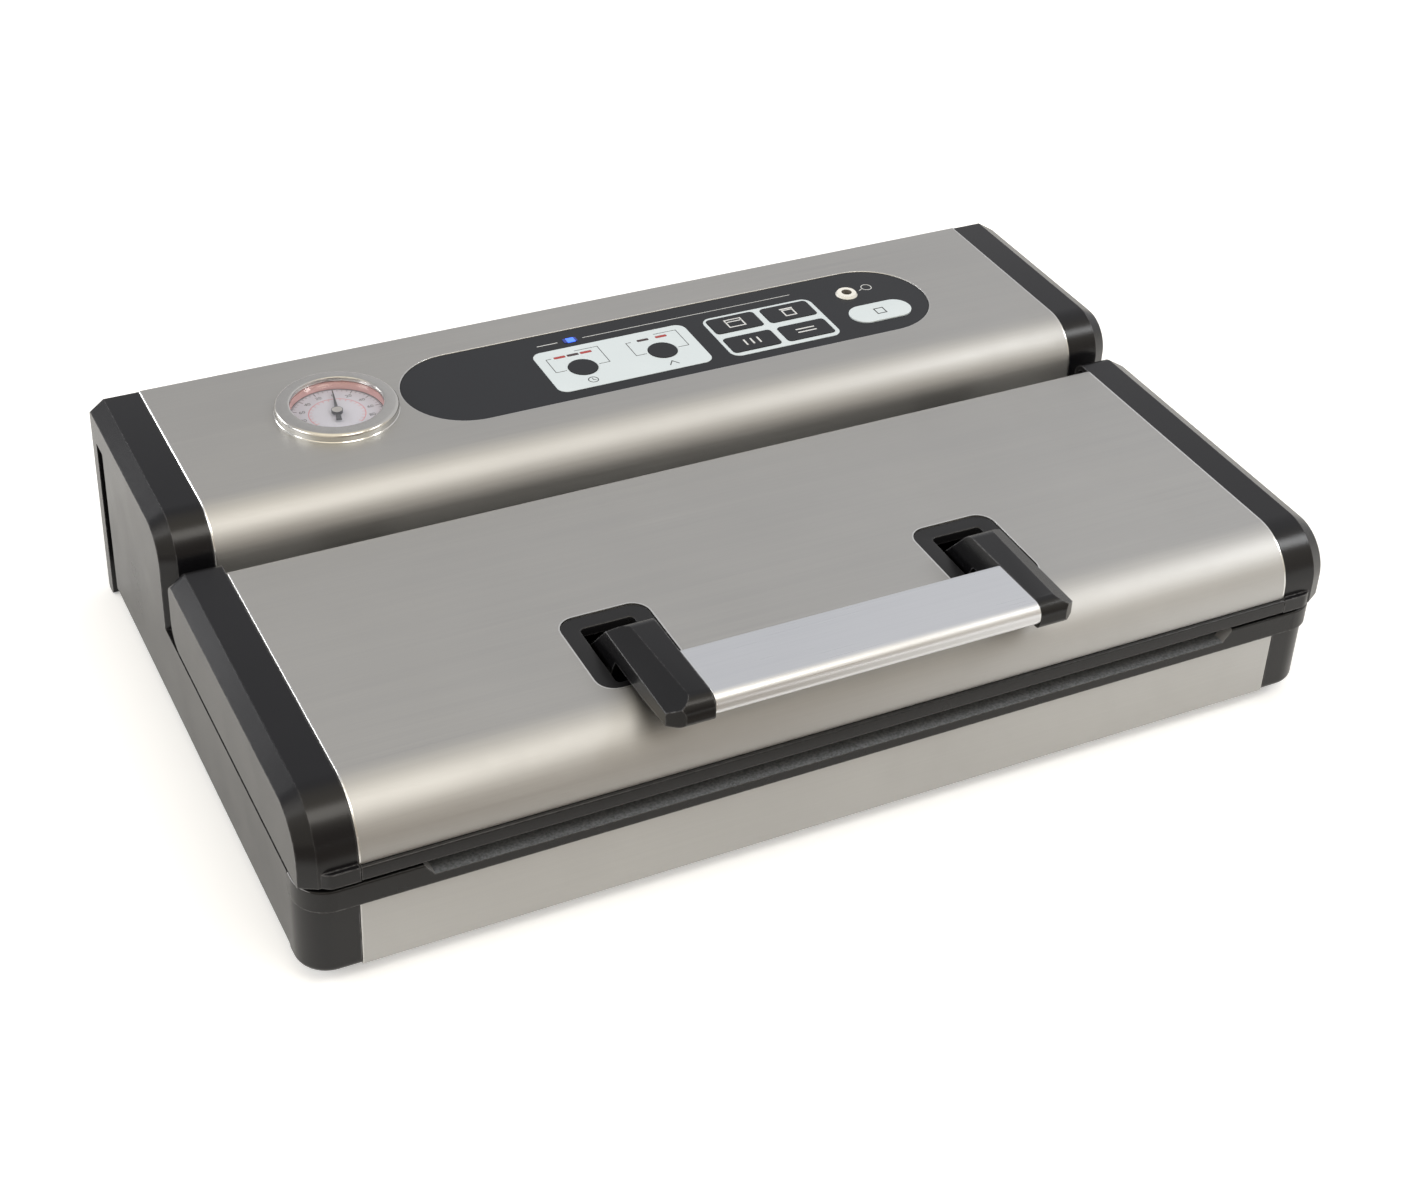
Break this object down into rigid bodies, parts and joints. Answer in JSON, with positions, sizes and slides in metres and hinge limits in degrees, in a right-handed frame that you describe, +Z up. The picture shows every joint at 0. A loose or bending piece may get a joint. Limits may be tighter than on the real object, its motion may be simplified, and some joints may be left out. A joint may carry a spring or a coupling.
{
  "type": "vacuum sealer",
  "caption": "Countertop vacuum sealer: steel-clad base with raised rear housing, hinged lid with a locking bar handle, vacuum gauge and a touch-key panel.",
  "frame": {"origin": "on the table, under the middle of the whole object with the handle down", "axes": "+X to the object's right as its user sees it, +Y to the back, +Z up"},
  "size_m": [0.476, 0.308, 0.1075],
  "materials": {
    "stainless": "brushed stainless sheet, grain left to right",
    "black_moulding": "satin black moulded plastic",
    "handle_moulding": "satin black moulded plastic",
    "satin_aluminium": "satin anodised aluminium",
    "bright_steel": "polished steel",
    "zinc_steel": "zinc plated steel",
    "motor_steel": "dull grey steel",
    "cast_aluminium": "die-cast aluminium",
    "control_film": "matte charcoal film",
    "white_film": "matte off-white film",
    "dark_key": "matte charcoal film",
    "white_key": "matte off-white film",
    "white_plastic": "glossy white plastic",
    "blue_light": "lit blue lens",
    "red_light": "unlit dark red lens",
    "dial_face": "printed white dial",
    "needle_black": "black enamel",
    "gauge_glass": "clear glass",
    "board_green": "printed circuit board",
    "switch_black": "black plastic",
    "bar_phenolic": "heat-proof bar",
    "heating_alloy": "bare resistance alloy",
    "coated_tape": "brown coated glass tape",
    "tray_smoke": "smooth dark plastic",
    "gasket_foam": "closed-cell foam",
    "silicone": "translucent grey silicone",
    "foot_rubber": "soft black rubber"
  },
  "bodies": {
    "base": {"front_panel": "stainless", "rear_cover": "stainless", "side_panel_left": "black_moulding", "side_panel_right": "black_moulding", "base_deck": "black_moulding", "back_panel": "black_moulding", "base_plate": "black_moulding", "power_inlet": "black_moulding", "gauge_case": "black_moulding", "gauge_bezel": "bright_steel", "latch_catches": "zinc_steel", "hinge_bracket_left": "zinc_steel", "hinge_bracket_right": "zinc_steel", "hinge_pins": "zinc_steel", "housing_screws": "zinc_steel", "pump_bracket": "zinc_steel", "pump_motor": "motor_steel", "transformer": "motor_steel", "vacuum_pump": "cast_aluminium", "control_overlay": "control_film", "key_panels": "white_film", "canister_port": "white_plastic", "ready_light": "blue_light", "indicator_lights": "red_light", "gauge_dial": "dial_face", "gauge_lens": "gauge_glass", "control_board": "board_green", "power_board": "board_green", "key_switches": "switch_black", "release_valve": "switch_black", "seal_bar": "bar_phenolic", "heating_strip": "heating_alloy", "sealing_tape": "coated_tape", "vacuum_tray": "tray_smoke", "lower_gasket": "gasket_foam", "vacuum_hoses": "silicone", "rubber_feet": "foot_rubber"},
    "lid": {"lid_cover": "stainless", "lid_end_cap_left": "black_moulding", "lid_end_cap_right": "black_moulding", "lid_frame": "black_moulding", "upper_gasket": "gasket_foam", "pressure_strip": "silicone", "handle_bezel_left": "black_moulding", "handle_bezel_right": "black_moulding"},
    "handle": {"handle_bar": "satin_aluminium", "handle_arm_left": "handle_moulding", "handle_arm_right": "handle_moulding", "handle_shaft": "zinc_steel", "latch_hook_left": "zinc_steel", "latch_hook_right": "zinc_steel"},
    "gauge_pointer": {"gauge_needle": "needle_black"},
    "fan": {"pump_fan": "switch_black"},
    "seal_time_key": {"seal_time_key": "dark_key"},
    "pressure_key": {"pressure_key": "dark_key"},
    "vacuum_seal_key": {"vacuum_seal_key": "dark_key"},
    "canister_key": {"canister_key": "dark_key"},
    "pulse_key": {"pulse_key": "dark_key"},
    "manual_seal_key": {"manual_seal_key": "dark_key"},
    "cancel_key": {"cancel_key": "white_key"}
  },
  "joints": [
    {"name": "lid_hinge", "type": "hinge", "parent": "base", "child": "lid", "pos_m": [0, 0.024, 0.079], "axis": [-1, 0, 0], "range_deg": [0, 75]},
    {"name": "handle_turn", "type": "hinge", "parent": "lid", "child": "handle", "pos_m": [0, -0.087, 0.073], "axis": [-1, 0, 0], "range_deg": [-4, 40]},
    {"name": "pointer_turn", "type": "hinge", "parent": "base", "child": "gauge_pointer", "pos_m": [-0.138, 0.103, 0.103], "axis": [0, 0, 1], "range_deg": [0, 140]},
    {"name": "fan_turn", "type": "hinge", "parent": "base", "child": "fan", "pos_m": [0.15, 0.099, 0.049], "axis": [1, 0, 0], "continuous": true},
    {"name": "seal_time_key_press", "type": "slide", "parent": "base", "child": "seal_time_key", "axis": [0, 0, -1], "range_m": [0, 0.0004], "stiffness_N_per_m": 2500},
    {"name": "pressure_key_press", "type": "slide", "parent": "base", "child": "pressure_key", "axis": [0, 0, -1], "range_m": [0, 0.0004], "stiffness_N_per_m": 2500},
    {"name": "vacuum_seal_key_press", "type": "slide", "parent": "base", "child": "vacuum_seal_key", "axis": [0, 0, -1], "range_m": [0, 0.0004], "stiffness_N_per_m": 2500},
    {"name": "canister_key_press", "type": "slide", "parent": "base", "child": "canister_key", "axis": [0, 0, -1], "range_m": [0, 0.0004], "stiffness_N_per_m": 2500},
    {"name": "pulse_key_press", "type": "slide", "parent": "base", "child": "pulse_key", "axis": [0, 0, -1], "range_m": [0, 0.0004], "stiffness_N_per_m": 2500},
    {"name": "manual_seal_key_press", "type": "slide", "parent": "base", "child": "manual_seal_key", "axis": [0, 0, -1], "range_m": [0, 0.0004], "stiffness_N_per_m": 2500},
    {"name": "cancel_key_press", "type": "slide", "parent": "base", "child": "cancel_key", "axis": [0, 0, -1], "range_m": [0, 0.0004], "stiffness_N_per_m": 2500}
  ]
}
